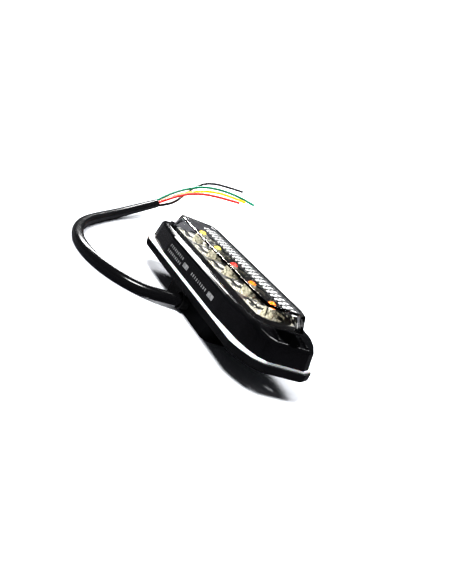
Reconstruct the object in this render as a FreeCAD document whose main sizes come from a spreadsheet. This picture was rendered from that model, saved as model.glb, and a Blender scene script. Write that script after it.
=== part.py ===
import FreeCAD, Part
import math
import os
import Sketcher
from FreeCAD import Placement, Rotation, Vector

# Slim LED tail light for a motorcycle, millimetres. X runs along the light, Y across it with the
# cable leaving towards -Y, and Z up through the lens. The origin is the middle of the flat face of
# the cable box, which is the lowest face.

doc = FreeCAD.newDocument("tail_light")

SIZES = {
    # rear cover: a flat plate with a shallow cable box under its middle
    "plate_half_length": 52.0,
    "plate_half_width": 15.1,
    "plate_shoulder": 41.0,
    "plate_cheek": 45.6,
    "plate_cheek_half": 13.5,
    "plate_corner": 49.8,
    "plate_corner_half": 11.0,
    "plate_end_half": 7.6,
    "plate_thick": 3.0,
    "plate_edge_round": 1.2,
    "box_half_length": 20.0,
    "box_half_width": 10.0,
    "box_depth": 7.8,
    "box_wall": 1.6,
    "box_corner": 3.0,
    # white seal between rear cover and housing
    "seal_thick": 0.8,
    "seal_inset": 0.15,
    "seal_end_inset": 0.9,
    "seal_bore_gap": 0.5,
    # housing: drafted black surround of the lens, with a nose at each end
    "foot_half_width": 14.4,
    "foot_taper_start": 25.0,
    "foot_shoulder": 41.0,
    "foot_shoulder_half": 12.8,
    "foot_cheek": 46.0,
    "foot_cheek_half": 11.4,
    "foot_corner": 49.6,
    "foot_corner_half": 9.4,
    "foot_half_length": 51.3,
    "foot_end_half": 6.6,
    "housing_height": 7.6,
    "housing_draft": 1.1,
    "rim_round": 1.7,
    "nose_start": 42.2,
    "nose_drop": 1.9,
    "bay_half_length": 40.2,
    "seal_bore_half_width": 10.0,
    "pilot_roof": 3.0,
    "lens_step_depth": 2.8,
    "lens_clearance": 0.1,
    # mounting screw holes in the two noses
    "ear_x": 46.4,
    "ear_hole": 4.4,
    "ear_pocket_half": 3.8,
    "ear_slot_start": 43.0,
    "ear_pocket_floor": 3.2,
    # lens: clear dome with drafted walls
    "lens_foot_half_length": 41.6,
    "lens_foot_half_width": 10.65,
    "lens_foot_end_half": 7.6,
    "lens_foot_shoulder": 37.4,
    "lens_top_half_length": 39.6,
    "lens_top_half_width": 8.1,
    "lens_top_end_half": 7.0,
    "lens_top_shoulder": 35.0,
    "lens_rise": 5.3,
    "lens_wall": 1.3,
    "lens_edge_round": 0.7,
    "lens_seal_thick": 0.4,
    # circuit board and what is on it
    "board_half_width": 9.0,
    "board_end_gap": 0.4,
    "board_end_half": 5.3,
    "board_thick": 1.6,
    "board_gap": 2.3,
    "post_radius": 1.6,
    "post_x": 34.0,
    "post_y": 5.6,
    "led_side": 5.0,
    "led_thick": 1.6,
    "led_dome": 3.8,
    "led_dome_height": 3.9,
    "led_pitch": 15.4,
    # reflector: tray of five cups
    "tray_foot_half_length": 39.4,
    "tray_foot_half_width": 8.2,
    "tray_top_half_length": 37.9,
    "tray_top_half_width": 7.8,
    "tray_height": 4.9,
    "tray_foot_corner": 3.0,
    "tray_top_corner": 2.6,
    "cup_top_radius": 7.4,
    "cup_floor_radius": 3.9,
    "cup_floor": 1.4,
    # ribbed prism strip along the far wall of the lens
    "prism_half_length": 36.0,
    "prism_thick": 0.8,
    "prism_gap": 0.15,
    "prism_fold_drop": 0.3,
    "prism_flange_edge": 2.2,
    "prism_flange_thick": 0.6,
    # screws that hold the rear cover
    "screw_x": 31.0,
    "screw_y": 12.0,
    "screw_shank": 1.9,
    "screw_bore": 2.3,
    "screw_length": 6.6,
    "screw_head": 3.8,
    "screw_head_thick": 1.5,
    "screw_recess": 4.1,
    # driver parts under the board
    "resistor_length": 3.2,
    "resistor_width": 1.6,
    "resistor_height": 0.6,
    "resistor_y": 4.6,
    "diode_length": 4.3,
    "diode_width": 2.6,
    "diode_height": 2.1,
    "diode_y": -5.0,
    "regulator_length": 6.5,
    "regulator_width": 6.1,
    "regulator_height": 2.2,
    "regulator_x": 17.0,
    "capacitor_diameter": 5.0,
    "capacitor_height": 5.4,
    "capacitor_x": -13.0,
    # cable
    "cable_diameter": 4.5,
    "cable_x": -1.0,
    "cable_height": 4.0,
    "cable_start": -2.0,
    "core_diameter": 1.5,
    "core_ring": 0.78,
    "grommet_neck": 2.75,
    "grommet_collar": 3.1,
    "grommet_collar_thick": 1.2,
    "grommet_nose": 1.6,
    "grommet_flare": 0.5,
    "grommet_lip": 0.6,
    "pad_pitch": 5.0,
    "pad_y": 4.4,
    "solder_diameter": 2.4,
    "solder_height": 0.8,
}
sheet = doc.addObject("Spreadsheet::Sheet", "dims")
for row, (alias, number) in enumerate(SIZES.items(), 1):
    sheet.set(f"A{row}", alias)
    sheet.set(f"B{row}", str(number))
    sheet.setAlias(f"B{row}", alias)
doc.recompute()

# heights, as expressions of the sheet's cells
PLATE_LOW = "dims.box_depth"
PLATE_TOP = f"({PLATE_LOW} + dims.plate_thick)"
HOUSING_LOW = f"({PLATE_TOP} + dims.seal_thick)"
HOUSING_TOP = f"({HOUSING_LOW} + dims.housing_height)"
LENS_STEP = f"({HOUSING_TOP} - dims.lens_step_depth)"
LENS_LOW = f"({LENS_STEP} + dims.lens_seal_thick)"
LENS_TOP = f"({HOUSING_TOP} + dims.lens_rise)"
BOARD_LOW = f"({PLATE_TOP} + dims.board_gap)"
BOARD_TOP = f"({BOARD_LOW} + dims.board_thick)"
LED_PLACES = (-2, -1, 0, 1, 2)
DRIVER_PLACES = (-20, -12, 12, 20)


def value(expression):
    """The number that an expression of the sheet's cells comes to."""
    return float(sheet.evalExpression(str(expression)))


def place(thing, x=0, y=0, z=0):
    """Puts a primitive at a place given as expressions."""
    for axis, expression in zip("xyz", (x, y, z)):
        thing.setExpression(f"Placement.Base.{axis}", str(expression))


def body(label):
    made = doc.addObject("PartDesign::Body", label)
    made.Label = label
    return made


def sketch_on(owner, name, height=0, role="XY_Plane"):
    """An empty sketch on one of the body's origin planes, raised along the plane's normal."""
    made = owner.newObject("Sketcher::SketchObject", name)
    plane = next(f for f in owner.Origin.OriginFeatures if f.Role == role)
    made.AttachmentSupport = [(plane, "")]
    made.MapMode = "FlatFace"
    made.setExpression("AttachmentOffset.Base.z", str(height))
    return made


def outline(sketch, corners):
    """A closed outline of straight sides through corners given as pairs of expressions."""
    first = sketch.GeometryCount
    points = [Vector(value(x), value(y), 0) for x, y in corners]
    total = len(points)
    for index, point in enumerate(points):
        sketch.addGeometry(Part.LineSegment(point, points[(index + 1) % total]))
    for index, corner in enumerate(corners):
        after = first + (index + 1) % total
        sketch.addConstraint(Sketcher.Constraint("Coincident", first + index, 2, after, 1))
        for kind, expression in zip(("DistanceX", "DistanceY"), corner):
            datum = Sketcher.Constraint(kind, -1, 1, first + index, 1, value(expression))
            sketch.setExpression(f"Constraints[{sketch.addConstraint(datum)}]", str(expression))


def four_fold(quarter):
    """The whole outline from its corners in the first quarter, listed from the X axis on."""
    mirrored = [(f"-({x})", y) for x, y in reversed(quarter)]
    upper = quarter + mirrored
    lower = [(x, f"-({y})") for x, y in reversed(upper)]
    return upper + lower


def circle(sketch, x, y, diameter):
    """A circle whose centre and diameter are expressions."""
    centre = Vector(value(x), value(y), 0)
    index = sketch.addGeometry(Part.Circle(centre, Vector(0, 0, 1), value(diameter) / 2))
    for kind, expression in zip(("DistanceX", "DistanceY"), (x, y)):
        datum = Sketcher.Constraint(kind, -1, 1, index, 3, value(expression))
        sketch.setExpression(f"Constraints[{sketch.addConstraint(datum)}]", str(expression))
    datum = Sketcher.Constraint("Diameter", index, value(diameter))
    sketch.setExpression(f"Constraints[{sketch.addConstraint(datum)}]", str(diameter))


def pad(owner, sketch, length):
    made = owner.newObject("PartDesign::Pad", f"{sketch.Name}_pad")
    made.Profile = sketch
    made.setExpression("Length", str(length))
    sketch.Visibility = False
    return made


def pocket(owner, sketch, depth, upwards=False):
    """Cuts a sketch into the body, downwards from its plane unless upwards is set."""
    doc.recompute()
    before = owner.Shape.Volume
    made = owner.newObject("PartDesign::Pocket", f"{sketch.Name}_cut")
    made.Profile = sketch
    made.setExpression("Length", str(depth))
    made.Reversed = upwards
    doc.recompute()
    if not owner.Shape.Volume < before - 1e-3:
        raise RuntimeError(f"{made.Name} removes nothing")
    return made


def loft(owner, kind, low, high):
    made = owner.newObject(f"PartDesign::{kind}Loft", f"{low.Name}_loft")
    made.Profile = low
    made.Sections = [high]
    made.Ruled = True
    return made


def edges(shape, wanted):
    """The names of the edges whose two ends and middle all pass a test."""
    names = []
    for number, edge in enumerate(shape.Edges, 1):
        points = [v.Point for v in edge.Vertexes] + [edge.valueAt(sum(edge.ParameterRange) / 2)]
        if all(wanted(p) for p in points):
            names.append(f"Edge{number}")
    return names


def upright_edges(shape, wanted=lambda p: True):
    names = []
    for number, edge in enumerate(shape.Edges, 1):
        ends = [v.Point for v in edge.Vertexes]
        if len(ends) != 2 or not all(wanted(p) for p in ends):
            continue
        span = ends[1] - ends[0]
        if abs(span.z) > 0.9 * span.Length:
            names.append(f"Edge{number}")
    return names


def fillet(owner, names, radius):
    base = owner.Tip
    made = owner.newObject("PartDesign::Fillet", f"{owner.Name}_round_{len(owner.Group)}")
    made.Base = (base, names)
    made.setExpression("Radius", str(radius))
    doc.recompute()
    if "Invalid" in made.State:
        raise RuntimeError(f"{made.Name} with edges {names} fails")
    return made


def level(expression, slack=0.01):
    """A test for points at one height."""
    height = value(expression)
    return lambda p: abs(p.z - height) < slack


def group(label, members):
    """Like pieces under one name, each a solid of its own."""
    made = doc.addObject("Part::Compound", label)
    made.Label = label
    made.Links = members
    return made


def block(name, length, width, height, x, y, z):
    """A box centred on x and y that stands on z."""
    made = doc.addObject("Part::Box", name)
    for side, expression in zip(("Length", "Width", "Height"), (length, width, height)):
        made.setExpression(side, str(expression))
    place(made, f"{x} - ({length}) / 2", f"{y} - ({width}) / 2", z)
    return made


def rod(name, diameter, height, x, y, z):
    """An upright cylinder that stands on z."""
    made = doc.addObject("Part::Cylinder", name)
    made.setExpression("Radius", f"({diameter}) / 2")
    made.setExpression("Height", str(height))
    place(made, x, y, z)
    return made


def plate_quarter(inset="0"):
    """The rear cover's outline in the first quarter, drawn in by an inset."""
    return [
        (f"dims.plate_half_length - {inset}", f"dims.plate_end_half - {inset} / 2"),
        (f"dims.plate_corner - {inset} * 0.8", f"dims.plate_corner_half - {inset} * 0.7"),
        (f"dims.plate_cheek - {inset} * 0.6", f"dims.plate_cheek_half - {inset} * 0.8"),
        (f"dims.plate_shoulder - {inset} / 2", f"dims.plate_half_width - {inset}"),
    ]


def foot_quarter(inset="0"):
    """The housing's outline in the first quarter, drawn in by an inset."""
    return [
        (f"dims.foot_half_length - {inset}", f"dims.foot_end_half - {inset} / 2"),
        (f"dims.foot_corner - {inset} * 0.8", f"dims.foot_corner_half - {inset} * 0.7"),
        (f"dims.foot_cheek - {inset} * 0.7", f"dims.foot_cheek_half - {inset} * 0.8"),
        (f"dims.foot_shoulder - {inset} * 0.7", f"dims.foot_shoulder_half - {inset}"),
        (f"dims.foot_taper_start - {inset} * 0.2", f"dims.foot_half_width - {inset}"),
    ]


def lens_quarter(part, inset="0"):
    """The lens's outline in the first quarter at its foot or its top."""
    return [
        (f"dims.lens_{part}_half_length - {inset}", f"dims.lens_{part}_end_half - {inset} / 2"),
        (f"dims.lens_{part}_shoulder - {inset} / 2", f"dims.lens_{part}_half_width - {inset}"),
    ]


def screw_places():
    return [(f"{a} * dims.screw_x", f"{b} * dims.screw_y") for a in (-1, 1) for b in (-1, 1)]


def post_places():
    return [(f"{a} * dims.post_x", f"{b} * dims.post_y") for a in (-1, 1) for b in (-1, 1)]


def rear_cover():
    """Moulded black plate with the cable box under it, open inside towards the circuit board."""
    part = body("rear_cover")
    plan = sketch_on(part, "plate_plan", PLATE_LOW)
    outline(plan, four_fold(plate_quarter()))
    pad(part, plan, "dims.plate_thick")
    base = sketch_on(part, "cable_box_plan", 0)
    outline(base, four_fold([("dims.box_half_length", "dims.box_half_width")]))
    pad(part, base, "dims.box_depth")
    doc.recompute()
    high = value(PLATE_LOW)
    corners = upright_edges(part.Shape, lambda p: p.z < high + 0.01)
    fillet(part, corners, "dims.box_corner")
    fillet(part, upright_edges(part.Shape, lambda p: p.z > high - 0.01), "dims.box_wall")
    under = level(PLATE_LOW)
    outer = value("dims.box_half_length + 1"), value("dims.box_half_width + 1")
    rim = edges(part.Shape, lambda p: under(p) and (abs(p.x) > outer[0] or abs(p.y) > outer[1]))
    fillet(part, rim, "dims.plate_edge_round")
    posts = sketch_on(part, "posts", PLATE_TOP)
    for x, y in post_places():
        circle(posts, x, y, "2 * dims.post_radius")
    pad(part, posts, "dims.board_gap")
    hollow = sketch_on(part, "hollow", PLATE_TOP)
    inside = ("dims.box_half_length - dims.box_wall", "dims.box_half_width - dims.box_wall")
    outline(hollow, four_fold([inside]))
    pocket(part, hollow, f"{PLATE_TOP} - dims.box_wall")
    holes = sketch_on(part, "ear_holes", PLATE_TOP)
    for side in (-1, 1):
        circle(holes, f"{side} * dims.ear_x", "0", "dims.ear_hole")
    pocket(part, holes, "dims.plate_thick")
    bores = sketch_on(part, "screw_bores", PLATE_TOP)
    recesses = sketch_on(part, "screw_recesses", f"{PLATE_LOW} + dims.screw_head_thick")
    for x, y in screw_places():
        circle(bores, x, y, "dims.screw_bore")
        circle(recesses, x, y, "dims.screw_recess")
    pocket(part, bores, "dims.plate_thick")
    pocket(part, recesses, "dims.screw_head_thick")
    exit_hole = sketch_on(part, "cable_exit", "dims.box_half_width", "XZ_Plane")
    circle(exit_hole, "dims.cable_x", "dims.cable_height", "2 * dims.grommet_neck")
    pocket(part, exit_hole, "dims.box_wall")
    return part


def body_seal():
    """Flat white silicone ring that shows as a line all round the light."""
    part = body("body_seal")
    plan = sketch_on(part, "seal_plan", PLATE_TOP)
    outline(plan, four_fold([
        ("dims.plate_half_length - dims.seal_end_inset", "dims.plate_end_half - dims.seal_inset"),
        ("dims.plate_corner - dims.seal_end_inset / 2", "dims.plate_corner_half - dims.seal_inset"),
        ("dims.plate_cheek - dims.seal_inset", "dims.plate_cheek_half - dims.seal_inset"),
        ("dims.plate_shoulder - dims.seal_inset / 2", "dims.plate_half_width - dims.seal_inset"),
    ]))
    pad(part, plan, "dims.seal_thick")
    middle = sketch_on(part, "seal_middle", HOUSING_LOW)
    inner = [("dims.bay_half_length + dims.seal_bore_gap", "dims.seal_bore_half_width + dims.seal_bore_gap")]
    outline(middle, four_fold(inner))
    pocket(part, middle, "dims.seal_thick")
    holes = sketch_on(part, "seal_holes", HOUSING_LOW)
    for side in (-1, 1):
        circle(holes, f"{side} * dims.ear_x", "0", "dims.ear_hole")
    for x, y in screw_places():
        circle(holes, x, y, "dims.screw_bore")
    pocket(part, holes, "dims.seal_thick")
    fillet(part, upright_edges(part.Shape, lambda p: abs(p.y) > 8 or abs(p.x) > 51), "dims.box_wall")
    return part


def housing():
    """Black drafted surround with a rounded rim, a lens seat and a screw pocket in each nose."""
    part = body("housing")
    foot = sketch_on(part, "housing_foot", HOUSING_LOW)
    outline(foot, four_fold(foot_quarter()))
    rim = sketch_on(part, "housing_rim", HOUSING_TOP)
    outline(rim, four_fold(foot_quarter("dims.housing_draft")))
    loft(part, "Additive", foot, rim)
    slope = sketch_on(part, "nose_slope", "dims.plate_half_width + 1", "XZ_Plane")
    for side in (-1, 1):
        reach = f"{side} * (dims.plate_half_length + 1)"
        high = f"{HOUSING_TOP} + 1"
        start = f"{side} * dims.nose_start"
        outline(
            slope,
            [(start, HOUSING_TOP), (reach, f"{HOUSING_TOP} - dims.nose_drop"), (reach, high), (start, high)],
        )
    pocket(part, slope, "2 * dims.plate_half_width + 2")
    top = value(f"{HOUSING_TOP} - dims.nose_drop - 0.1")
    fold = value("dims.nose_start") + 0.1
    rim = edges(part.Shape, lambda p: p.z > top and (abs(p.y) > 0.1 or abs(p.x) > fold))
    fillet(part, rim, "dims.rim_round")
    seat = sketch_on(part, "lens_seat", HOUSING_TOP)
    outline(seat, four_fold(lens_quarter("foot", "(-dims.lens_clearance)")))
    pocket(part, seat, "dims.lens_step_depth")
    bay = sketch_on(part, "light_bay", HOUSING_TOP)
    outline(bay, four_fold([
        ("dims.bay_half_length", "dims.lens_foot_end_half - dims.lens_wall"),
        ("dims.lens_foot_shoulder - dims.lens_wall / 2", "dims.lens_foot_half_width - dims.lens_wall"),
    ]))
    pocket(part, bay, "dims.housing_height")
    heads = sketch_on(part, "ear_pockets", f"{HOUSING_TOP} + 1")
    slots = sketch_on(part, "ear_slots", f"{HOUSING_TOP} + 1")
    for side in (-1, 1):
        middle, half = f"{side} * dims.ear_x", "dims.ear_pocket_half"
        start = f"{side} * dims.ear_slot_start"
        circle(heads, middle, "0", f"2 * {half}")
        outline(slots, [(start, half), (middle, half), (middle, f"-{half}"), (start, f"-{half}")])
    for plan in (heads, slots):
        pocket(part, plan, "dims.housing_height + 1 - dims.ear_pocket_floor")
    holes = sketch_on(part, "housing_ear_holes", HOUSING_TOP)
    for side in (-1, 1):
        circle(holes, f"{side} * dims.ear_x", "0", "dims.ear_hole")
    pocket(part, holes, "dims.housing_height")
    pilots = sketch_on(part, "screw_pilots", HOUSING_LOW)
    for x, y in screw_places():
        circle(pilots, x, y, "dims.screw_shank")
    pocket(part, pilots, "dims.housing_height - dims.pilot_roof", upwards=True)
    return part


def lens():
    """Clear dome: a loft from its foot to its flat top, hollow from below, with a skirt."""
    part = body("lens")
    skirt = sketch_on(part, "lens_skirt", LENS_LOW)
    outline(skirt, four_fold(lens_quarter("foot")))
    pad(part, skirt, f"{HOUSING_TOP} - {LENS_LOW}")
    foot = sketch_on(part, "lens_foot", HOUSING_TOP)
    outline(foot, four_fold(lens_quarter("foot")))
    top = sketch_on(part, "lens_top", LENS_TOP)
    outline(top, four_fold(lens_quarter("top")))
    loft(part, "Additive", foot, top)
    doc.recompute()
    fillet(part, edges(part.Shape, level(LENS_TOP)), "dims.lens_edge_round")
    inner_skirt = sketch_on(part, "inner_skirt", LENS_LOW)
    outline(inner_skirt, four_fold(lens_quarter("foot", "dims.lens_wall")))
    pocket(part, inner_skirt, f"{HOUSING_TOP} - {LENS_LOW}", upwards=True)
    inner_foot = sketch_on(part, "inner_foot", HOUSING_TOP)
    outline(inner_foot, four_fold(lens_quarter("foot", "dims.lens_wall")))
    inner_top = sketch_on(part, "inner_top", f"{LENS_TOP} - dims.lens_wall")
    outline(inner_top, four_fold(lens_quarter("top", "dims.lens_wall")))
    loft(part, "Subtractive", inner_foot, inner_top)
    return part


def lens_seal():
    """Thin black bead of sealant on the step under the lens's skirt."""
    part = body("lens_seal")
    plan = sketch_on(part, "lens_seal_plan", LENS_STEP)
    outline(plan, four_fold(lens_quarter("foot")))
    pad(part, plan, "dims.lens_seal_thick")
    middle = sketch_on(part, "lens_seal_middle", LENS_LOW)
    outline(middle, four_fold(lens_quarter("foot", "dims.lens_wall")))
    pocket(part, middle, "dims.lens_seal_thick")
    return part


def reflector():
    """Chromed tray with five flared cups, standing on the circuit board."""
    part = body("reflector")
    foot = sketch_on(part, "tray_foot", BOARD_TOP)
    outline(foot, four_fold([
        ("dims.tray_foot_half_length", "dims.tray_foot_half_width - dims.tray_foot_corner"),
        ("dims.tray_foot_half_length - dims.tray_foot_corner", "dims.tray_foot_half_width"),
    ]))
    top = sketch_on(part, "tray_top", f"{BOARD_TOP} + dims.tray_height")
    outline(top, four_fold([
        ("dims.tray_top_half_length", "dims.tray_top_half_width - dims.tray_top_corner"),
        ("dims.tray_top_half_length - dims.tray_top_corner", "dims.tray_top_half_width"),
    ]))
    loft(part, "Additive", foot, top)
    windows = sketch_on(part, "led_windows", f"{BOARD_TOP} + dims.cup_floor")
    for step in LED_PLACES:
        circle(windows, f"{step} * dims.led_pitch", "0", "2 * dims.cup_floor_radius")
    pocket(part, windows, "dims.cup_floor")
    for number, step in enumerate(LED_PLACES, 1):
        floor = sketch_on(part, f"cup_{number}_floor", f"{BOARD_TOP} + dims.cup_floor")
        circle(floor, f"{step} * dims.led_pitch", "0", "2 * dims.cup_floor_radius")
        mouth = sketch_on(part, f"cup_{number}_mouth", f"{BOARD_TOP} + dims.tray_height")
        circle(mouth, f"{step} * dims.led_pitch", "0", "2 * dims.cup_top_radius")
        loft(part, "Subtractive", floor, mouth)
    return part


def prism_strip():
    """Clear ribbed strip that leans in along the lens's far wall and folds in under its top."""
    part = body("prism_strip")
    section = sketch_on(part, "prism_section", "-dims.prism_half_length", "YZ_Plane")
    foot = "dims.lens_foot_half_width - dims.lens_wall - dims.prism_gap"
    head = "dims.lens_top_half_width - dims.lens_wall - dims.prism_gap"
    crown = f"{LENS_TOP} - dims.lens_wall - 2 * dims.prism_gap"
    thick = "dims.prism_thick"
    under = f"{crown} - dims.prism_flange_thick"
    outline(section, [
        (foot, BOARD_TOP), (foot, HOUSING_TOP), (head, crown), ("dims.prism_flange_edge", crown),
        ("dims.prism_flange_edge", under), (f"{head} - dims.prism_flange_thick", under),
        (f"{foot} - {thick}", f"{HOUSING_TOP} - dims.prism_fold_drop"), (f"{foot} - {thick}", BOARD_TOP),
    ])
    pad(part, section, "2 * dims.prism_half_length")
    return part


def circuit_board():
    part = body("circuit_board")
    plan = sketch_on(part, "board_plan", BOARD_LOW)
    outline(plan, four_fold([
        ("dims.bay_half_length - dims.board_end_gap", "dims.board_end_half"),
        ("dims.lens_foot_shoulder - dims.lens_wall", "dims.board_half_width"),
    ]))
    pad(part, plan, "dims.board_thick")
    return part


def board_leds():
    """LEDs with a square base and a domed lens, one in each cup: two tail, one brake, two amber."""
    kinds = {"tail_leds": (-2, -1), "brake_led": (0,), "turn_leds": (1, 2)}
    made = []
    for label, steps in kinds.items():
        members = []
        for n, step in enumerate(steps, 1):
            x = f"{step} * dims.led_pitch"
            top = f"{BOARD_TOP} + dims.led_thick"
            base = block(f"{label}_base_{n}", "dims.led_side", "dims.led_side", "dims.led_thick",
                         x, "0", BOARD_TOP)
            stem = rod(f"{label}_stem_{n}", "dims.led_dome", "dims.led_dome_height", x, "0", top)
            dome = doc.addObject("Part::Sphere", f"{label}_dome_{n}")
            dome.setExpression("Radius", "dims.led_dome / 2")
            place(dome, x, "0", f"{top} + dims.led_dome_height")
            member = doc.addObject("Part::MultiFuse", f"{label}_{n}")
            member.Shapes = [base, stem, dome]
            members.append(member)
        made.append(group(label, members))
    return made


def board_parts():
    """Driver parts under the board: resistors, diodes, a regulator and a capacitor."""
    def hung(kind, number, x, y):
        height = f"dims.{kind}_height"
        return block(f"{kind}_{number}", f"dims.{kind}_length", f"dims.{kind}_width", height,
                     x, y, f"{BOARD_LOW} - {height}")

    made = []
    for kind in ("resistor", "diode"):
        members = [hung(kind, n, x, f"dims.{kind}_y") for n, x in enumerate(DRIVER_PLACES, 1)]
        made.append(group(f"{kind}s", members))
    made.append(group("regulator", [hung("regulator", 1, "dims.regulator_x", 0)]))
    can = rod("capacitor_can", "dims.capacitor_diameter", "dims.capacitor_height",
              "dims.capacitor_x", 0, f"{BOARD_LOW} - dims.capacitor_height")
    made.append(group("capacitor", [can]))
    return made


def cover_screws():
    """Four self-tapping screws, driven from behind into the housing with their heads sunk."""
    members = []
    for number, (x, y) in enumerate(screw_places(), 1):
        head = rod(f"screw_head_{number}", "dims.screw_head", "dims.screw_head_thick", x, y, PLATE_LOW)
        shank = rod(f"screw_shank_{number}", "dims.screw_shank", "dims.screw_length", x, y,
                    f"{PLATE_LOW} + dims.screw_head_thick")
        screw = doc.addObject("Part::Fuse", f"screw_{number}")
        screw.Base = head
        screw.Tool = shank
        members.append(screw)
    return group("cover_screws", members)


def cable_grommet():
    """Rubber bush in the wall of the cable box, with two collars and a nose that flares inside."""
    part = body("cable_grommet")
    profile = sketch_on(part, "grommet_profile", "dims.cable_x", "YZ_Plane")
    low, neck, collar = "dims.cable_diameter / 2", "dims.grommet_neck", "dims.grommet_collar"
    wall_in = "-(dims.box_half_width - dims.box_wall)"
    wall_out = "-dims.box_half_width"
    thick = "dims.grommet_collar_thick"
    nose = f"{wall_out} - {thick} - dims.grommet_nose"
    steps = [
        (f"{wall_in} + {thick}", low), (f"{wall_in} + {thick}", collar), (wall_in, collar),
        (wall_in, neck), (wall_out, neck), (wall_out, collar), (f"{wall_out} - {thick}", collar),
        (nose, f"{low} + dims.grommet_flare + dims.grommet_lip"),
        (nose, f"{low} + dims.grommet_flare"), (wall_out, low),
    ]
    outline(profile, [(y, f"dims.cable_height + {r}") for y, r in steps])
    turned = part.newObject("PartDesign::Revolution", "grommet_turned")
    turned.Profile = profile
    axis = sketch_on(part, "grommet_axis", "dims.cable_x", "YZ_Plane")
    line = axis.addGeometry(Part.LineSegment(Vector(-20, value("dims.cable_height"), 0),
                                             Vector(0, value("dims.cable_height"), 0)))
    axis.addConstraint(Sketcher.Constraint("Horizontal", line))
    turned.ReferenceAxis = (axis, ["Edge1"])
    turned.Angle = 360
    return part


def arc_path(points):
    """Straight runs joined by the largest tangent arcs they allow, and the arcs' radii."""
    points = [Vector(*p) for p in points]
    edges_made, radii = [], []
    last = points[0]
    for before, corner, after in zip(points, points[1:], points[2:]):
        into, out = (corner - before), (after - corner)
        turn = into.getAngle(out)
        cut = 0.45 * min(into.Length, out.Length)
        start = corner - into.normalize() * cut
        end = corner + out.normalize() * cut
        radius = cut / math.tan(turn / 2)
        to_centre = (out - into).normalize() * (radius / math.cos(turn / 2))
        middle = corner + to_centre - (out - into).normalize() * radius
        edges_made.append(Part.LineSegment(last, start).toShape())
        edges_made.append(Part.Arc(start, middle, end).toShape())
        radii.append(radius)
        last = end
    edges_made.append(Part.LineSegment(last, points[-1]).toShape())
    return Part.Wire(edges_made), radii


def cord(label, points, diameter):
    """A plain round tube along a route."""
    path, radii = arc_path(points)
    start, towards = Vector(*points[0]), Vector(*points[1]) - Vector(*points[0])
    section = Part.Wire([Part.Circle(start, towards, diameter / 2).toShape()])
    made = doc.addObject("Part::Feature", label)
    made.Label = label
    made.Shape = path.makePipeShell([section], True, True)
    made.Placement = Placement(Vector(0, 0, 0), Rotation())
    share = made.Shape.Volume / (math.pi * diameter**2 / 4 * path.Length)
    print(f"{label}: length {path.Length:.1f}, radii {', '.join(f'{r:.1f}' for r in radii)}, "
          f"volume over section times length {share:.3f}")
    if abs(share - 1) > 0.02:
        raise RuntimeError(f"{label} has the wrong volume")
    return made


# The cable leaves the box towards -Y, turns along the floor and lifts a little at its cut end.
CABLE_ROUTE = [
    (-1.0, -2.0, 4.0),
    (-1.0, -10.4, 4.0),
    (-1.8, -18.6, 3.1),
    (-5.0, -26.6, 2.25),
    (-10.4, -33.1, 2.25),
    (-17.6, -37.7, 2.25),
    (-25.7, -40.3, 2.25),
    (-34.1, -41.2, 2.25),
    (-43.5, -40.9, 2.25),
    (-54.5, -38.0, 2.25),
    (-66.0, -32.8, 2.25),
    (-79.0, -23.8, 2.25),
    (-94.5, -11.8, 2.4),
    (-107.5, -0.7, 3.5),
    (-119.5, 10.1, 5.0),
    (-130.0, 19.9, 6.6),
]
# The four cores fan out of the cut end of the jacket and spring up off the floor.
CORE_ROUTES = {
    "core_red": [
        (-129.5, 20.5, 7.4),
        (-135.6, 27.0, 9.4),
        (-142.0, 34.8, 12.2),
        (-147.2, 44.0, 15.4),
        (-150.8, 55.0, 17.8),
        (-152.4, 66.5, 19.0),
        (-152.9, 77.5, 19.9),
    ],
    "core_black": [
        (-129.5, 20.5, 5.8),
        (-135.8, 27.6, 6.6),
        (-143.2, 36.0, 8.8),
        (-154.4, 44.6, 13.2),
        (-167.0, 55.2, 18.2),
        (-176.6, 67.0, 21.0),
        (-179.4, 79.6, 22.4),
        (-177.0, 90.0, 23.4),
    ],
    "core_green": [
        (-130.5, 19.3, 7.4),
        (-137.4, 25.4, 9.9),
        (-146.2, 35.4, 13.9),
        (-156.4, 47.6, 17.2),
        (-164.4, 60.0, 19.8),
        (-166.4, 72.8, 21.2),
        (-164.0, 83.6, 21.6),
        (-159.0, 91.0, 20.9),
    ],
    "core_yellow": [
        (-130.5, 19.3, 5.8),
        (-137.4, 25.0, 7.4),
        (-145.4, 34.6, 11.2),
        (-153.6, 48.0, 15.8),
        (-160.9, 61.0, 18.6),
        (-163.6, 74.0, 20.0),
        (-160.6, 85.5, 20.3),
    ],
}
LEADS = {"lead_red": (1, 1), "lead_black": (1, -1), "lead_green": (-1, 1), "lead_yellow": (-1, -1)}


def leads():
    """The cores inside the box, from the jacket's inner end up to four pads on the board."""
    made, joints = [], []
    diameter = value("dims.core_diameter")
    start_y = value("dims.cable_start")
    pad_y = value("dims.pad_y")
    board = value(BOARD_LOW)
    joint = value("dims.solder_height")
    for number, (label, (side, up)) in enumerate(LEADS.items()):
        x = value(f"dims.cable_x + {side} * dims.core_ring")
        z = value(f"dims.cable_height + {up} * dims.core_ring")
        pad_x = value(f"({number} - 1.5) * dims.pad_pitch")
        made.append(cord(label, [
            (x, start_y, z),
            (x, start_y + 3, z),
            (pad_x, pad_y, (z + board) / 2),
            (pad_x, pad_y, board - joint),
        ], diameter))
        joints.append(rod(f"solder_{number}", "dims.solder_diameter", "dims.solder_height",
                          f"({number} - 1.5) * dims.pad_pitch", "dims.pad_y",
                          f"{BOARD_LOW} - dims.solder_height"))
    return [*made, group("solder_joints", joints)]


def cable():
    """The round four-core cable and the bare ends of its cores."""
    made = [cord("cable_jacket", CABLE_ROUTE, value("dims.cable_diameter"))]
    for label, route in CORE_ROUTES.items():
        made.append(cord(label, route, value("dims.core_diameter")))
    return made


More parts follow.
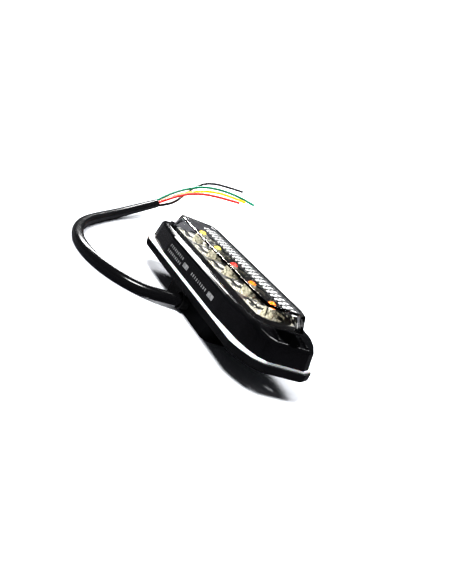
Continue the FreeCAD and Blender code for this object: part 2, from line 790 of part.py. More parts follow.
parts = [rear_cover(), body_seal(), housing(), lens_seal(), lens(), reflector(), prism_strip(),
         circuit_board(), *board_leds(), *board_parts(), cover_screws(), cable_grommet(), *leads(), *cable()]
doc.recompute()

for thing in doc.Objects:
    if {"Invalid", "Error"} & set(thing.State):
        raise RuntimeError(f"{thing.Name} is {thing.State}")
os.makedirs("parts", exist_ok=True)
for part in parts:
    if part.Shape.isNull() or not part.Shape.isValid() or not part.Shape.Solids:
        raise RuntimeError(f"{part.Label} has no valid solid")
    part.Shape.exportStep(f"parts/{part.Label}.step")
    box = part.Shape.BoundBox
    print(f"{part.Label}: {len(part.Shape.Solids)} solids, {part.Shape.Volume:.0f} mm3, "
          f"x {box.XMin:.1f} {box.XMax:.1f} y {box.YMin:.1f} {box.YMax:.1f} z {box.ZMin:.1f} {box.ZMax:.1f}")
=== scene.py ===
import math

import bpy
from mathutils import Matrix, Vector


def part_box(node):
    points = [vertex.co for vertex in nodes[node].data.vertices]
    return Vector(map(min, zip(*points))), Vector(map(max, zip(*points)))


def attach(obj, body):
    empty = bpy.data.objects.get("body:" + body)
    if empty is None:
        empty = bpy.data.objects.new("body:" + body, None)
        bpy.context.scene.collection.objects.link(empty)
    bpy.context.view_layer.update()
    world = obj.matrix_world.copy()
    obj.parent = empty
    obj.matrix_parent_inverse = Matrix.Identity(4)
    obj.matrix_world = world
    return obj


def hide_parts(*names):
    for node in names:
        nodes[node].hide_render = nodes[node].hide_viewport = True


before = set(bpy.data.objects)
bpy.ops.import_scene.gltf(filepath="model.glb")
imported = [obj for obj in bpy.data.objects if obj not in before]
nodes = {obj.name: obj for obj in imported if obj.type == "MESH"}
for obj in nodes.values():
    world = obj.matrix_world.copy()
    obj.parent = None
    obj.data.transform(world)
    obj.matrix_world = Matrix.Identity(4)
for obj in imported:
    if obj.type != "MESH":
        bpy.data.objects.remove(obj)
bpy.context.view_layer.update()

# Studio: a white sweep with no visible edge. Its floor is level with the flat face of the light's
# cable box, and the camera looks along the light from its near end, leaning to one side.
camera_data = bpy.data.cameras.new("camera")
camera_data.lens = 43.15
camera_data.sensor_width = 36.0
camera_data.clip_start = 0.01
camera = bpy.data.objects.new("camera", camera_data)
bpy.context.collection.objects.link(camera)
camera_right = Vector((0.37544, 0.81769, 0.43639)).normalized()
camera_back = Vector((0.82318, -0.51055, 0.24843)).normalized()
camera_up = camera_back.cross(camera_right)
camera.matrix_world = Matrix.Translation((0.20226, -0.12335, 0.07309)) @ Matrix(
    (camera_right, camera_up, camera_back)
).transposed().to_4x4()
bpy.context.scene.camera = camera
bpy.context.scene.view_settings.view_transform = "Standard"
bpy.context.scene.view_settings.look = "Medium High Contrast"

bpy.ops.mesh.primitive_circle_add(vertices=96, radius=3.0, fill_type="NGON")
floor = bpy.context.object
floor.name = "studio_floor"
floor_paint = bpy.data.materials.new("studio_paper")
floor_paint.use_nodes = True
paper = floor_paint.node_tree.nodes["Principled BSDF"]
paper.inputs["Roughness"].default_value = 0.9
paper.inputs["Specular IOR Level"].default_value = 0.1
# The paper is white to the camera and to diffuse light but near black in glossy rays: a painted dark
# reflection of the floor in the shiny parts.
paper_ray = floor_paint.node_tree.nodes.new("ShaderNodeLightPath")
paper_tone_dark_in_reflections = floor_paint.node_tree.nodes.new("ShaderNodeMix")
paper_tone_dark_in_reflections.data_type = "RGBA"
paper_tone_dark_in_reflections.inputs["A"].default_value = (0.9, 0.92, 0.96, 1)
paper_tone_dark_in_reflections.inputs["B"].default_value = (0.05, 0.05, 0.055, 1)
floor_paint.node_tree.links.new(paper_ray.outputs["Is Glossy Ray"], paper_tone_dark_in_reflections.inputs["Factor"])
floor_paint.node_tree.links.new(paper_tone_dark_in_reflections.outputs["Result"], paper.inputs["Base Color"])
floor.data.materials.append(floor_paint)

world = bpy.data.worlds.new("studio")
bpy.context.scene.world = world
world.use_nodes = True
sky = world.node_tree.nodes["Background"]
sky.inputs["Color"].default_value = (0.9, 0.94, 1.0, 1)
ray = world.node_tree.nodes.new("ShaderNodeLightPath")
sky_level = world.node_tree.nodes.new("ShaderNodeMapRange")
sky_level.inputs["To Min"].default_value = 0.07
sky_level.inputs["To Max"].default_value = 1.3
world.node_tree.links.new(ray.outputs["Is Camera Ray"], sky_level.inputs["Value"])
world.node_tree.links.new(sky_level.outputs["Result"], sky.inputs["Strength"])

sun = bpy.data.lights.new("window_light", "SUN")
sun.energy = 4.9
sun.angle = math.radians(16)
window = bpy.data.objects.new("window_light", sun)
bpy.context.collection.objects.link(window)
window.rotation_euler = Vector((-0.3, 0.5, -1.0)).to_track_quat("-Z", "Y").to_euler()

for name, place, size, power in (
    ("softbox_behind", (-0.6, 0.05, 0.34), (0.5, 0.1), 5.0),
    ("softbox_above", (-0.1, 0.25, 0.6), (0.3, 0.3), 3.0),
):
    light = bpy.data.lights.new(name, "AREA")
    light.shape = "RECTANGLE"
    light.size, light.size_y = size
    light.energy = power
    lamp = bpy.data.objects.new(name, light)
    bpy.context.collection.objects.link(lamp)
    lamp.location = place
    lamp.rotation_euler = (-Vector(place)).to_track_quat("-Z", "Y").to_euler()

# Cable: a round black PVC jacket over four cores. It leaves the cable box through the grommet,
# curves round on the floor and is cut square at its far end.
# Surface variation: noise patches blend each colour with a patch colour. On most materials the patch
# colour is a small real tone difference; on the reflector cups and the diode domes it is near black, a
# painted dark reflection.
variation = bpy.data.node_groups.new("surface_variation", "ShaderNodeTree")
for label, kind in (
    ("Position", "NodeSocketVector"),
    ("Colour", "NodeSocketColor"),
    ("Patch Colour", "NodeSocketColor"),
    ("Patch Scale", "NodeSocketFloat"),
    ("Grain Scale", "NodeSocketFloat"),
    ("Smooth", "NodeSocketFloat"),
    ("Rough", "NodeSocketFloat"),
):
    variation.interface.new_socket(label, in_out="INPUT", socket_type=kind)
for label, kind in (
    ("Colour", "NodeSocketColor"),
    ("Roughness", "NodeSocketFloat"),
    ("Height", "NodeSocketFloat"),
):
    variation.interface.new_socket(label, in_out="OUTPUT", socket_type=kind)
taken = variation.nodes.new("NodeGroupInput")
given = variation.nodes.new("NodeGroupOutput")
patches = variation.nodes.new("ShaderNodeTexNoise")
patches.inputs["Detail"].default_value = 4.0
grain = variation.nodes.new("ShaderNodeTexNoise")
grain.inputs["Detail"].default_value = 3.0
patch_blend = variation.nodes.new("ShaderNodeMapRange")
patch_blend.inputs["From Min"].default_value = 0.45
patch_blend.inputs["From Max"].default_value = 0.75
tone = variation.nodes.new("ShaderNodeMix")
tone.data_type = "RGBA"
rough = variation.nodes.new("ShaderNodeMapRange")
rough.inputs["From Min"].default_value = 0.3
rough.inputs["From Max"].default_value = 0.7
link = variation.links.new
link(taken.outputs["Position"], patches.inputs["Vector"])
link(taken.outputs["Patch Scale"], patches.inputs["Scale"])
link(taken.outputs["Position"], grain.inputs["Vector"])
link(taken.outputs["Grain Scale"], grain.inputs["Scale"])
link(patches.outputs["Fac"], patch_blend.inputs["Value"])
link(patch_blend.outputs["Result"], tone.inputs["Factor"])
link(taken.outputs["Colour"], tone.inputs["A"])
link(taken.outputs["Patch Colour"], tone.inputs["B"])
link(patches.outputs["Fac"], rough.inputs["Value"])
link(taken.outputs["Smooth"], rough.inputs["To Min"])
link(taken.outputs["Rough"], rough.inputs["To Max"])
link(tone.outputs["Result"], given.inputs["Colour"])
link(rough.outputs["Result"], given.inputs["Roughness"])
link(grain.outputs["Fac"], given.inputs["Height"])


def surface(name, colour, patch_colour, smooth, rough, patch=60.0, grain=1500.0, bump=0.00001, plain=()):
    """A material whose tone, gloss and fine relief vary over the surface; plain sets whole sockets."""
    material = bpy.data.materials.new(name)
    material.use_nodes = True
    tree = material.node_tree
    shader = tree.nodes["Principled BSDF"]
    place = tree.nodes.new("ShaderNodeTexCoord")
    varied = tree.nodes.new("ShaderNodeGroup")
    varied.node_tree = variation
    varied.inputs["Colour"].default_value = (*colour, 1)
    varied.inputs["Patch Colour"].default_value = (*patch_colour, 1)
    varied.inputs["Patch Scale"].default_value = patch
    varied.inputs["Grain Scale"].default_value = grain
    varied.inputs["Smooth"].default_value = smooth
    varied.inputs["Rough"].default_value = rough
    relief = tree.nodes.new("ShaderNodeBump")
    relief.inputs["Distance"].default_value = bump
    relief.inputs["Strength"].default_value = 0.6
    tree.links.new(place.outputs["Object"], varied.inputs["Position"])
    tree.links.new(varied.outputs["Colour"], shader.inputs["Base Color"])
    tree.links.new(varied.outputs["Roughness"], shader.inputs["Roughness"])
    tree.links.new(varied.outputs["Height"], relief.inputs["Height"])
    tree.links.new(relief.outputs["Normal"], shader.inputs["Normal"])
    for socket, number in dict(plain).items():
        shader.inputs[socket].default_value = number
    return material


def round_cord(name, route, diameter, material):
    """A smooth round tube along a route, with its ends closed."""
    line = bpy.data.curves.new(name, "CURVE")
    line.dimensions = "3D"
    spline = line.splines.new("NURBS")
    spline.points.add(len(route) - 1)
    for point, place in zip(spline.points, route):
        point.co = (*place, 1)
    spline.order_u = 3
    spline.use_endpoint_u = True
    line.resolution_u = 14
    line.bevel_depth = diameter / 2
    line.bevel_resolution = 8
    line.use_fill_caps = True
    line.materials.append(material)
    piece = bpy.data.objects.new(name, line)
    bpy.context.collection.objects.link(piece)
    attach(piece, "root")
    return piece


jacket_diameter = 0.0045
jacket_pvc = surface("jacket_pvc", (0.004, 0.004, 0.0045), (0.008, 0.008, 0.009), 0.14, 0.22, grain=900.0,
                     bump=0.00002, plain={"Specular IOR Level": 0.22})
cable = round_cord("cable", [
    (-0.001, -0.002, 0.004), (-0.001, -0.0104, 0.004), (-0.0018, -0.0186, 0.0031),
    (-0.005, -0.0266, 0.00225), (-0.0104, -0.0331, 0.00225), (-0.0176, -0.0377, 0.00225),
    (-0.0257, -0.0403, 0.00225), (-0.0341, -0.0412, 0.00225), (-0.0435, -0.0409, 0.00225),
    (-0.0545, -0.038, 0.00225), (-0.066, -0.0328, 0.00225), (-0.079, -0.0238, 0.00225),
    (-0.0945, -0.0118, 0.0024), (-0.1075, -0.0007, 0.0035), (-0.1195, 0.0101, 0.005),
    (-0.13, 0.0199, 0.0066),
], jacket_diameter, jacket_pvc)
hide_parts("cable_jacket")

# Cores: four thin PVC-covered wires that fan out of the cut end of the jacket and spring up off
# the floor, each to its own length.
core_diameter = 0.0015
for colour_name, colour, patch_colour, length, route in (
    ("red", (0.5, 0.02, 0.01), (0.42, 0.02, 0.012), 0.0651, [
        (-0.1295, 0.0205, 0.0074), (-0.1356, 0.027, 0.0094), (-0.142, 0.0348, 0.0122),
        (-0.1472, 0.044, 0.0154), (-0.1508, 0.055, 0.0178), (-0.1524, 0.0665, 0.019),
        (-0.1529, 0.0775, 0.0199),
    ]),
    ("black", (0.012, 0.012, 0.013), (0.03, 0.03, 0.03), 0.0916, [
        (-0.1295, 0.0205, 0.0058), (-0.1358, 0.0276, 0.0066), (-0.1432, 0.036, 0.0088),
        (-0.1544, 0.0446, 0.0132), (-0.167, 0.0552, 0.0182), (-0.1766, 0.067, 0.021),
        (-0.1794, 0.0796, 0.0224), (-0.177, 0.09, 0.0234),
    ]),
    ("green", (0.0, 0.17, 0.09), (0.0, 0.13, 0.07), 0.0873, [
        (-0.1305, 0.0193, 0.0074), (-0.1374, 0.0254, 0.0099), (-0.1462, 0.0354, 0.0139),
        (-0.1564, 0.0476, 0.0172), (-0.1644, 0.06, 0.0198), (-0.1664, 0.0728, 0.0212),
        (-0.164, 0.0836, 0.0216), (-0.159, 0.091, 0.0209),
    ]),
    ("yellow", (0.8, 0.4, 0.0), (0.7, 0.32, 0.0), 0.0786, [
        (-0.1305, 0.0193, 0.0058), (-0.1374, 0.025, 0.0074), (-0.1454, 0.0346, 0.0112),
        (-0.1536, 0.048, 0.0158), (-0.1609, 0.061, 0.0186), (-0.1636, 0.074, 0.02),
        (-0.1606, 0.0855, 0.0203),
    ]),
):
    core_pvc = surface(f"{colour_name}_pvc", colour, patch_colour, 0.2, 0.4, grain=1200.0)
    core = round_cord(f"{colour_name}_core", route, core_diameter, core_pvc)
    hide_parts(f"core_{colour_name}")
    nodes[f"lead_{colour_name}"].material_slots[0].material = core_pvc

# Grommet: a black rubber bush pressed into the wall of the cable box.
nodes["cable_grommet"].material_slots[0].material = surface(
    "grommet_rubber", (0.005, 0.005, 0.005), (0.011, 0.011, 0.011), 0.5, 0.7, bump=0.00003)

# Rear cover: a moulded black ABS plate with a shallow box for the cable and the driver parts.
# Four self-tapping screws hold it to the housing.
cover_abs = surface("cover_abs", (0.002, 0.002, 0.0024), (0.005, 0.005, 0.006), 0.2, 0.34, grain=2200.0,
                    plain={"Specular IOR Level": 0.2})
nodes["rear_cover"].material_slots[0].material = cover_abs

# Body seal: a flat ring of milky silicone, squeezed between the rear cover and the housing.
# Its white is partly the silicone's own and partly a painted highlight along the joint.
nodes["body_seal"].material_slots[0].material = surface(
    "seal_silicone_and_painted_highlight", (0.93, 0.93, 0.92), (0.86, 0.86, 0.85), 0.35, 0.5,
    plain={"Subsurface Weight": 0.2, "Subsurface Scale": 0.001})

# Circuit board: white solder mask on glass epoxy, on four posts of the rear cover. The driver
# parts are soldered underneath, where the leads come up to their pads.
nodes["circuit_board"].material_slots[0].material = surface(
    "solder_mask", (0.8, 0.81, 0.79), (0.7, 0.71, 0.69), 0.3, 0.5)
epoxy = surface("moulded_epoxy", (0.02, 0.02, 0.022), (0.05, 0.05, 0.05), 0.5, 0.7, bump=0.00002)
for part_name in ("diodes", "regulator", "resistors"):
    nodes[part_name].material_slots[0].material = epoxy
nodes["capacitor"].material_slots[0].material = surface(
    "capacitor_can", (0.75, 0.75, 0.76), (0.6, 0.6, 0.62), 0.25, 0.4, plain={"Metallic": 1.0})
nodes["solder_joints"].material_slots[0].material = surface(
    "bright_solder", (0.8, 0.81, 0.82), (0.6, 0.61, 0.62), 0.2, 0.4, plain={"Metallic": 1.0})

# Light-emitting diodes: five white square bases on the board, each with a tall dome of clear resin
# whose tip takes the colour of the chip under it, in a row inside the reflector's cups.
package_resin = surface("package_resin", (0.85, 0.85, 0.8), (0.72, 0.72, 0.66), 0.3, 0.5)
# Dome resin: shown as cream metal whose near-black patches are painted dark reflections.
dome_resin_painted_reflections = surface("dome_resin_painted_reflections", (0.78, 0.75, 0.6), (0.05, 0.045, 0.02), 0.04, 0.15, patch=1500.0,
                     bump=0.0006, plain={"Metallic": 0.7})


def pick_faces(piece, wanted):
    """In edit mode, selects the faces whose centre and normal pass a test, and no others."""
    bpy.ops.mesh.select_mode(type="FACE")
    bpy.ops.mesh.select_all(action="DESELECT")
    bpy.ops.object.mode_set(mode="OBJECT")
    for face in piece.data.polygons:
        face.select = wanted(face.center, face.normal)
    bpy.ops.object.mode_set(mode="EDIT")


def start_piece(name, add, extent, place, **rest):
    """A primitive at its place, stretched to its extent, all of that kept in its mesh."""
    bpy.ops.object.select_all(action="DESELECT")
    add(location=place, **rest)
    piece = bpy.context.object
    piece.name = piece.data.name = name
    piece.scale = extent
    bpy.ops.object.transform_apply(location=True, rotation=True, scale=True)
    return piece


def join_pieces(name, members):
    bpy.ops.object.select_all(action="DESELECT")
    for member in members:
        member.select_set(True)
    bpy.context.view_layer.objects.active = members[0]
    bpy.ops.object.join()
    members[0].name = members[0].data.name = name
    return members[0]


def finish_piece(piece, replaced=(), angle=30.0):
    bpy.ops.object.select_all(action="DESELECT")
    piece.select_set(True)
    bpy.context.view_layer.objects.active = piece
    bpy.ops.object.shade_smooth_by_angle(angle=math.radians(angle))
    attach(piece, "root")
    if replaced:
        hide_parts(*replaced)


led_pitch = 0.0154
led_base = 0.0016
base_round, base_land, base_step = 0.0003, 0.0004, 0.0002
led_low, led_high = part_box("brake_led")
led_side = led_high[0] - led_low[0]
dome_radius = 0.0019
dome_tint = 0.55
dome_flare = 1.12
dome_start = led_high[2] - dome_radius
for label, slot, steps, window_colour, window_worn in (
    ("tail_leds", "led_yellow", (-2, -1), (1.0, 0.72, 0.06), (0.9, 0.62, 0.05)),
    ("brake_led", "led_red", (0,), (0.8, 0.02, 0.01), (0.65, 0.02, 0.01)),
    ("turn_leds", "led_amber", (1, 2), (0.85, 0.17, 0.0), (0.7, 0.13, 0.0)),
):
    window_resin = surface(f"{label}_dome", window_colour, window_worn, 0.08, 0.2)
    members = []
    for step in steps:
        x = step * led_pitch
        base = start_piece(f"{label}_{step + 2}", bpy.ops.mesh.primitive_cube_add,
                           (led_side, led_side, led_base), (x, 0, led_low[2] + led_base / 2), size=1)
        base.data.materials.append(package_resin)
        base.data.materials.append(window_resin)
        bpy.ops.object.mode_set(mode="EDIT")
        bpy.ops.mesh.bevel(offset=base_round, segments=2)
        pick_faces(base, lambda c, n: n.z > 0.99)
        bpy.ops.mesh.inset(thickness=base_land)
        bpy.ops.mesh.extrude_region_move(TRANSFORM_OT_translate={"value": (0, 0, base_step)})
        bpy.ops.object.mode_set(mode="OBJECT")
        dome = start_piece(f"{label}_dome_{step + 2}", bpy.ops.mesh.primitive_uv_sphere_add, (1, 1, 1),
                           (x, 0, dome_start), segments=28, ring_count=14, radius=dome_radius)
        dome.data.materials.append(dome_resin_painted_reflections)
        dome.data.materials.append(window_resin)
        bpy.ops.object.mode_set(mode="EDIT")
        pick_faces(dome, lambda c, n: c.z > dome_start + dome_tint * dome_radius)
        dome.active_material_index = 1
        bpy.ops.object.material_slot_assign()
        pick_faces(dome, lambda c, n: c.z < dome_start)
        bpy.ops.mesh.delete(type="FACE")
        bpy.ops.mesh.select_mode(type="EDGE")
        bpy.ops.mesh.select_non_manifold()
        bpy.ops.mesh.extrude_region_move(
            TRANSFORM_OT_translate={"value": (0, 0, led_low[2] + led_base - dome_start)})
        bpy.ops.transform.resize(value=(dome_flare, dome_flare, 1), center_override=(x, 0, 0))
        bpy.ops.mesh.edge_face_add()
        bpy.ops.object.mode_set(mode="OBJECT")
        members += [base, dome]
    finish_piece(join_pieces(f"{label}_domed", members), [label])

# Reflector: one black moulding with five round cups. Each cup is broken into flat facets and narrows to a
# flat floor that its diode's dome stands through. Most facets are metallised, with near-black patches
# painted on as dark reflections; the rest are black, also painted dark reflections.
tray_low, tray_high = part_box("reflector")
tray_size = (0.0770, 0.0156)
tray_flare = (1.02, 1.05)
cup_count, cup_land, cup_corner = 5, 0.0002, 0.0044
cup_pitch = tray_size[0] / cup_count
# Cup metal: cream chrome whose near-black patches are painted dark reflections.
cup_chrome_painted_reflections = surface("cup_chrome_painted_reflections", (0.84, 0.81, 0.68), (0.02, 0.018, 0.008), 0.05, 0.2, patch=950.0,
                     grain=900.0, bump=0.002, plain={"Metallic": 0.6})
tray_black = surface("tray_black", (0.01, 0.01, 0.01), (0.02, 0.02, 0.02), 0.25, 0.45)
tray = start_piece("reflector_tray", bpy.ops.mesh.primitive_grid_add, (*tray_size, 1),
                   (0, 0, tray_high[2]), x_subdivisions=cup_count, y_subdivisions=1, size=1)
tray.data.materials.append(tray_black)
tray.data.materials.append(cup_chrome_painted_reflections)
bpy.ops.object.mode_set(mode="EDIT")
bpy.ops.mesh.select_all(action="SELECT")
bpy.ops.mesh.inset(thickness=cup_land, use_individual=True)
facet_angle = math.radians(22.5)
ring_height, land_edge = 0.0006, tray_high[2] - 0.0001
cup_steps = ((-0.0004, 0.93), (-0.0006, 0.9), (-0.0007, 0.86), (-0.0008, 0.8), (-0.0007, 0.74))
for step in range(-2, 3):
    middle = step * cup_pitch
    height = tray_high[2]
    pick_faces(tray, lambda c, n: math.hypot(c.x - middle, c.y) < cup_land)
    bpy.ops.mesh.bevel(offset=cup_corner, segments=3, affect="VERTICES")
    pick_faces(tray, lambda c, n: math.hypot(c.x - middle, c.y) < cup_land)
    for drop, narrowing in cup_steps:
        height += drop
        bpy.ops.mesh.extrude_region_move(TRANSFORM_OT_translate={"value": (0, 0, drop)})
        bpy.ops.transform.resize(value=(narrowing, narrowing, 1), center_override=(middle, 0, height))
        bpy.ops.transform.rotate(value=facet_angle / 2, orient_axis="Z",
                                 center_override=(middle, 0, height))


def cut_away(piece, extent, place, turn=0.0):
    """Cuts a block of an extent, turned about Z, out of a piece."""
    cutter = start_piece("cutter", bpy.ops.mesh.primitive_cube_add, extent, place, size=1,
                         rotation=(0, 0, turn))
    bpy.ops.object.select_all(action="DESELECT")
    piece.select_set(True)
    bpy.context.view_layer.objects.active = piece
    cut = piece.modifiers.new("cut", "BOOLEAN")
    cut.operation = "DIFFERENCE"
    cut.object = cutter
    bpy.ops.object.modifier_apply(modifier="cut")
    bpy.data.objects.remove(cutter)


def is_painted_dark_facet(centre, normal):
    """Some of the cups' facets, spread evenly round each cup, which are painted black as dark
    reflections.
    """
    across = centre.x - round(centre.x / cup_pitch) * cup_pitch
    sector = math.floor(math.atan2(centre.y, across) / facet_angle)
    ring = round((tray_high[2] - centre.z) / ring_height)
    return centre.z < land_edge and (3 * sector + 5 * ring) % 7 < 3


pick_faces(tray, lambda c, n: c.z < land_edge)
tray.active_material_index = 1
bpy.ops.object.material_slot_assign()
pick_faces(tray, is_painted_dark_facet)
tray.active_material_index = 0
bpy.ops.object.material_slot_assign()
bpy.ops.mesh.select_mode(type="EDGE")
bpy.ops.mesh.select_all(action="DESELECT")
bpy.ops.mesh.select_non_manifold()
bpy.ops.mesh.extrude_region_move(TRANSFORM_OT_translate={"value": (0, 0, tray_low[2] - tray_high[2])})
bpy.ops.transform.resize(value=(*tray_flare, 1), center_override=(0, 0, tray_low[2]))
bpy.ops.mesh.edge_face_add()
bpy.ops.mesh.quads_convert_to_tris()
bpy.ops.mesh.select_all(action="SELECT")
bpy.ops.mesh.normals_make_consistent(inside=False)
bpy.ops.object.mode_set(mode="OBJECT")
tray_corner, cutter_side = 0.003, 0.006
foot_x, foot_y = (tray_flare[k] * tray_size[k] / 2 for k in range(2))
cutter_shift = (cutter_side / math.sqrt(2) - tray_corner) / 2
for end in (-1, 1):
    for side in (-1, 1):
        corner = (end * (foot_x + cutter_shift), side * (foot_y + cutter_shift), tray_low[2])
        cut_away(tray, (cutter_side, cutter_side, 4 * cutter_side), corner, turn=math.pi / 4)
finish_piece(tray, ["reflector"], angle=4.0)

# Prism strip: a clear moulding along the far wall of the lens, folded in under its top. Its inner side is
# a checkerboard of small raised pads, painted white as highlights, with painted black shade between them.
prism_low, prism_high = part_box("prism_strip")
prism_painted_highlight = surface("prism_painted_highlight", (0.95, 0.95, 0.94), (0.6, 0.6, 0.58), 0.08, 0.2, patch=300.0,
                       grain=500.0, plain={"Metallic": 0.1})
prism_painted_shade = surface("prism_painted_shade", (0.004, 0.004, 0.004), (0.012, 0.012, 0.012), 0.2, 0.4)
pad_columns, pad_rows, pad_length = 50, 4, 0.0022
pad_pitch = (prism_high[0] - prism_low[0]) / pad_columns
fold = prism_low[1] + 2 * pad_length
fold_angle = math.radians(55.4)
strip_height = prism_high[2] - 0.0003
strip = start_piece("prism_pads", bpy.ops.mesh.primitive_grid_add,
                    (prism_high[0] - prism_low[0], pad_rows * pad_length, 1), (0, fold, strip_height),
                    x_subdivisions=pad_columns, y_subdivisions=pad_rows, size=1)
strip.data.materials.append(prism_painted_highlight)
strip.data.materials.append(prism_painted_shade)


def pad_parity(centre):
    """0 or 1, in turn along and across the strip."""
    column = math.floor((centre.x - prism_low[0]) / pad_pitch)
    return (column + math.floor((centre.y - prism_low[1]) / pad_length)) % 2


bpy.ops.object.mode_set(mode="EDIT")
pick_faces(strip, lambda c, n: pad_parity(c) == 1)
strip.active_material_index = 1
bpy.ops.object.material_slot_assign()
bpy.ops.mesh.inset(thickness=0.0001, depth=-0.00025, use_individual=True)
pick_faces(strip, lambda c, n: c.y > fold)
bpy.ops.transform.rotate(value=fold_angle, orient_axis="X",
                         center_override=(0, fold, strip_height))
bpy.ops.object.mode_set(mode="OBJECT")
wall = strip.modifiers.new("wall", "SOLIDIFY")
wall.thickness = 0.0004
bpy.ops.object.modifier_apply(modifier="wall")
finish_piece(strip, ["prism_strip"])

# Housing: black drafted ABS surround with a rounded rim and a screw pocket in each nose. Its cable
# side carries a plain relief of two blank oblong pads and rows of equal, evenly spaced bars.
housing_abs = surface("housing_abs", (0.002, 0.002, 0.0024), (0.005, 0.005, 0.006), 0.06, 0.16,
                      grain=2200.0, plain={"Specular IOR Level": 0.25})
nodes["housing"].material_slots[0].material = housing_abs
# The relief is painted grey: a painted highlight where light catches the raised bars and pads.
relief_painted_highlight = surface("relief_painted_highlight", (0.2, 0.2, 0.2), (0.05, 0.05, 0.05), 0.3, 0.5, patch=700.0)
wall_draft, wall_height = 0.0011, 0.0076
wall_lean = math.atan(wall_draft / wall_height)
wall_foot = -0.0144


def wall_place(x, up):
    """A point on the cable side's drafted wall, a height up from the housing's foot."""
    return (x, wall_foot + up * math.tan(wall_lean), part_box("housing")[0][2] + up)


bar_pitch, bar_size, pad_size, relief_depth = 0.0016, (0.0006, 0.001), (0.0044, 0.0016), 0.0003
relief = []
for start, count, up, (wide, tall) in (
    (-0.0052, 1, 0.0031, pad_size), (0.0185, 1, 0.0031, pad_size),
    (-0.0225, 9, 0.0042, bar_size), (-0.0225, 9, 0.0022, bar_size), (0.0012, 9, 0.0031, bar_size),
):
    for number in range(count):
        bpy.ops.object.select_all(action="DESELECT")
        bpy.ops.mesh.primitive_cube_add(size=1, location=wall_place(start + number * bar_pitch, up),
                                        rotation=(math.pi / 2 - wall_lean, 0, 0),
                                        scale=(wide, tall, relief_depth))
        bar = bpy.context.object
        bpy.ops.object.transform_apply(location=True, rotation=True, scale=True)
        bpy.ops.object.mode_set(mode="EDIT")
        bpy.ops.mesh.bevel(offset=0.0001, segments=2)
        bpy.ops.object.mode_set(mode="OBJECT")
        bar.data.materials.append(relief_painted_highlight)
        relief.append(bar)
finish_piece(join_pieces("wall_relief", relief))

# Nose ribs: four low ribs moulded with the housing, one along each side of each screw pocket. They
# follow the slope of the nose.
nose_start = 0.0422
nose_drop, nose_run = 0.0019, 0.0108
nose_slope = math.atan(nose_drop / nose_run)
rib_middle, rib_side, rib_length, rib_width, rib_height = 0.0468, 0.0052, 0.0056, 0.0006, 0.0012
housing_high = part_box("housing")[1]
ribs = []
for end in (-1, 1):
    for side in (-1, 1):
        rib_up = housing_high[2] - (rib_middle - nose_start) * math.tan(nose_slope)
        bpy.ops.object.select_all(action="DESELECT")
        bpy.ops.mesh.primitive_cube_add(size=1, location=(end * rib_middle, side * rib_side, rib_up),
                                        rotation=(0, end * nose_slope, 0),
                                        scale=(rib_length, rib_width, rib_height))
        rib = bpy.context.object
        bpy.ops.object.transform_apply(location=True, rotation=True, scale=True)
        bpy.ops.object.mode_set(mode="EDIT")
        bpy.ops.mesh.bevel(offset=0.00016, segments=3)
        bpy.ops.object.mode_set(mode="OBJECT")
        rib.data.materials.append(housing_abs)
        ribs.append(rib)
finish_piece(join_pieces("nose_ribs", ribs))

# Lens seal: a thin bead of black sealant on the step under the lens.
nodes["lens_seal"].material_slots[0].material = surface(
    "lens_sealant", (0.015, 0.015, 0.015), (0.03, 0.03, 0.03), 0.35, 0.5)

# Lens: a clear polycarbonate dome bonded into the housing. Light for the parts under it passes
# straight through the wall.
lens_clear = surface("lens_clear", (0.99, 0.99, 0.99), (0.97, 0.98, 0.98), 0.0, 0.02, grain=300.0,
                     bump=0.000004, plain={"Transmission Weight": 1.0, "IOR": 1.18})
lens_tree = lens_clear.node_tree
lens_ray = lens_tree.nodes.new("ShaderNodeLightPath")
lens_through = lens_tree.nodes.new("ShaderNodeBsdfTransparent")
lens_mix = lens_tree.nodes.new("ShaderNodeMixShader")
lens_tree.links.new(lens_ray.outputs["Is Shadow Ray"], lens_mix.inputs["Fac"])
lens_tree.links.new(lens_tree.nodes["Principled BSDF"].outputs["BSDF"], lens_mix.inputs[1])
lens_tree.links.new(lens_through.outputs["BSDF"], lens_mix.inputs[2])
lens_tree.links.new(lens_mix.outputs["Shader"], lens_tree.nodes["Material Output"].inputs["Surface"])
nodes["lens"].material_slots[0].material = lens_clear

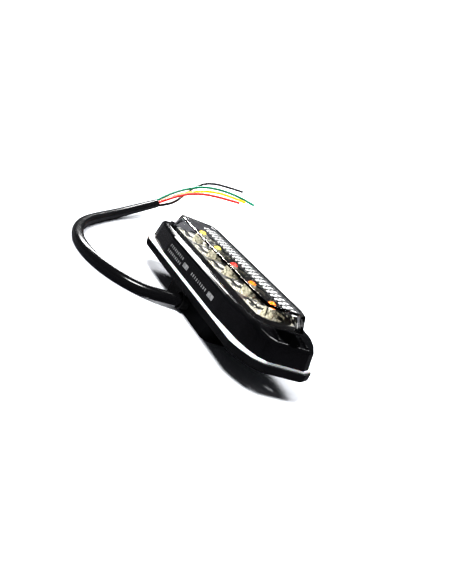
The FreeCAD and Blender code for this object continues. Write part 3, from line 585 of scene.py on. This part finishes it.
# Cover screws: four zinc-plated self-tapping screws, driven up from behind with their heads sunk
# in the plate. Each has a cross recess, a thread of raised rings and a blunt point.
screw_steel = surface("screw_steel", (0.62, 0.62, 0.63), (0.45, 0.45, 0.46), 0.25, 0.45,
                      plain={"Metallic": 1.0})
screws_low, screws_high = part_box("cover_screws")
head_radius, head_thick = 0.0019, 0.0015
head_round = 0.0002
shank_radius, thread_pitch, thread_lift, point = 0.00095, 0.0006, 1.18, 0.4
first_place = (screws_high[0] - head_radius, screws_high[1] - head_radius)
screw = start_piece("cover_screw", bpy.ops.mesh.primitive_cylinder_add, (1, 1, 1),
                    (*first_place, screws_low[2] + head_thick / 2), vertices=32, radius=head_radius,
                    depth=head_thick)
screw.data.materials.append(screw_steel)
bpy.ops.object.mode_set(mode="EDIT")
pick_faces(screw, lambda c, n: abs(n.z) > 0.9)
bpy.ops.mesh.bevel(offset=head_round, segments=3)
pick_faces(screw, lambda c, n: n.z > 0.99)
bpy.ops.mesh.inset(thickness=head_radius - head_round - shank_radius)
height = screws_low[2] + head_thick
while height + 2 * thread_pitch < screws_high[2]:
    for rise, widening in ((0.2, 1), (0.3, thread_lift), (0.3, 1 / thread_lift), (0.2, 1)):
        height += rise * thread_pitch
        bpy.ops.mesh.extrude_region_move(TRANSFORM_OT_translate={"value": (0, 0, rise * thread_pitch)})
        bpy.ops.transform.resize(value=(widening, widening, 1), center_override=(*first_place, height))
bpy.ops.mesh.extrude_region_move(TRANSFORM_OT_translate={"value": (0, 0, screws_high[2] - height)})
bpy.ops.transform.resize(value=(point, point, 1), center_override=(*first_place, screws_high[2]))
bpy.ops.object.mode_set(mode="OBJECT")
recess_reach, recess_width, recess_depth = 0.0021, 0.0005, 0.0014
for across, along in ((recess_reach, recess_width), (recess_width, recess_reach)):
    cut_away(screw, (across, along, recess_depth), (*first_place, screws_low[2]))
screws = [screw]
for shift_x, shift_y in ((-2 * first_place[0], 0), (0, -2 * first_place[1]),
                         (-2 * first_place[0], -2 * first_place[1])):
    twin = screw.copy()
    twin.data = screw.data.copy()
    twin.data.transform(Matrix.Translation((shift_x, shift_y, 0)))
    bpy.context.collection.objects.link(twin)
    screws.append(twin)
finish_piece(join_pieces("cross_head_screws", screws), ["cover_screws"])
